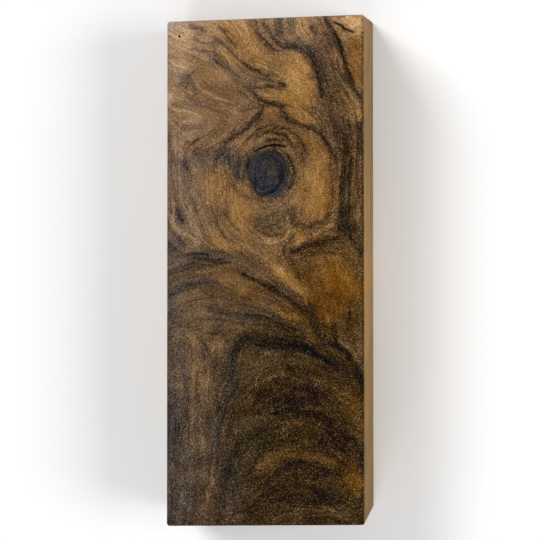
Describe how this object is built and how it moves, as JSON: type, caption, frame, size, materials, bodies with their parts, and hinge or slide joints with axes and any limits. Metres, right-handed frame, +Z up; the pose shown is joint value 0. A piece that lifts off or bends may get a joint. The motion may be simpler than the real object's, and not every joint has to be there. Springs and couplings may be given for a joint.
{
  "type": "stabilized walnut block",
  "caption": "Sawn block of figured walnut, stabilized with clear resin, with a dark knot and small drying checks, for carving or handle making.",
  "frame": {"origin": "middle of the broad back face, which the block rests on", "axes": "+Z up out of the figured face, +Y along the block from the foot end to the head end (the head is the end near the knot), +X across to the right as the figured face is seen"},
  "size_m": [0.0512, 0.1314, 0.03],
  "materials": {
    "stabilized_walnut": "sanded, satin"
  },
  "bodies": {
    "root": {"walnut_block": "stabilized_walnut"}
  },
  "joints": []
}
